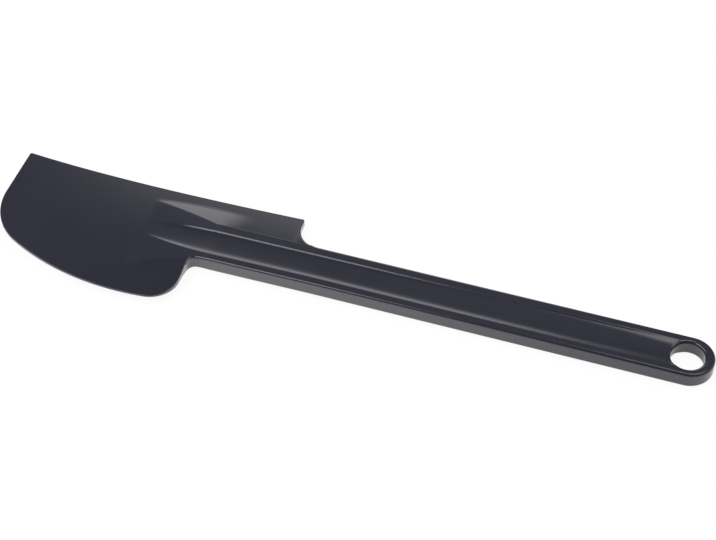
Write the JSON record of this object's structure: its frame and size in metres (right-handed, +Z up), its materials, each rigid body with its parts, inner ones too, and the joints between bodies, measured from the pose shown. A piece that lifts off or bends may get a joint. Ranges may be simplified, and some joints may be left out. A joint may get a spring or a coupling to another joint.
{
  "type": "heat-resistant spatula",
  "caption": "Flat pastry spatula with a flexible asymmetric blade, square at the tip and rounded along the belly, on a stiff channelled handle that ends in a hanging eye.",
  "frame": {"origin": "under the middle of the spatula's box, on the surface that it lies on", "axes": "+X along the handle towards the hanging eye, +Y towards the blade's straight back edge, +Z up out of the blade's face"},
  "size_m": [0.3006, 0.0612, 0.007],
  "materials": {
    "handle_plastic": "satin-gloss moulded polyamide, blue-black",
    "blade_plastic": "satin-gloss moulded polyamide, blue-black, slightly softer sheen than the handle"
  },
  "bodies": {
    "root": {"handle": "handle_plastic", "blade": "blade_plastic"}
  },
  "joints": []
}
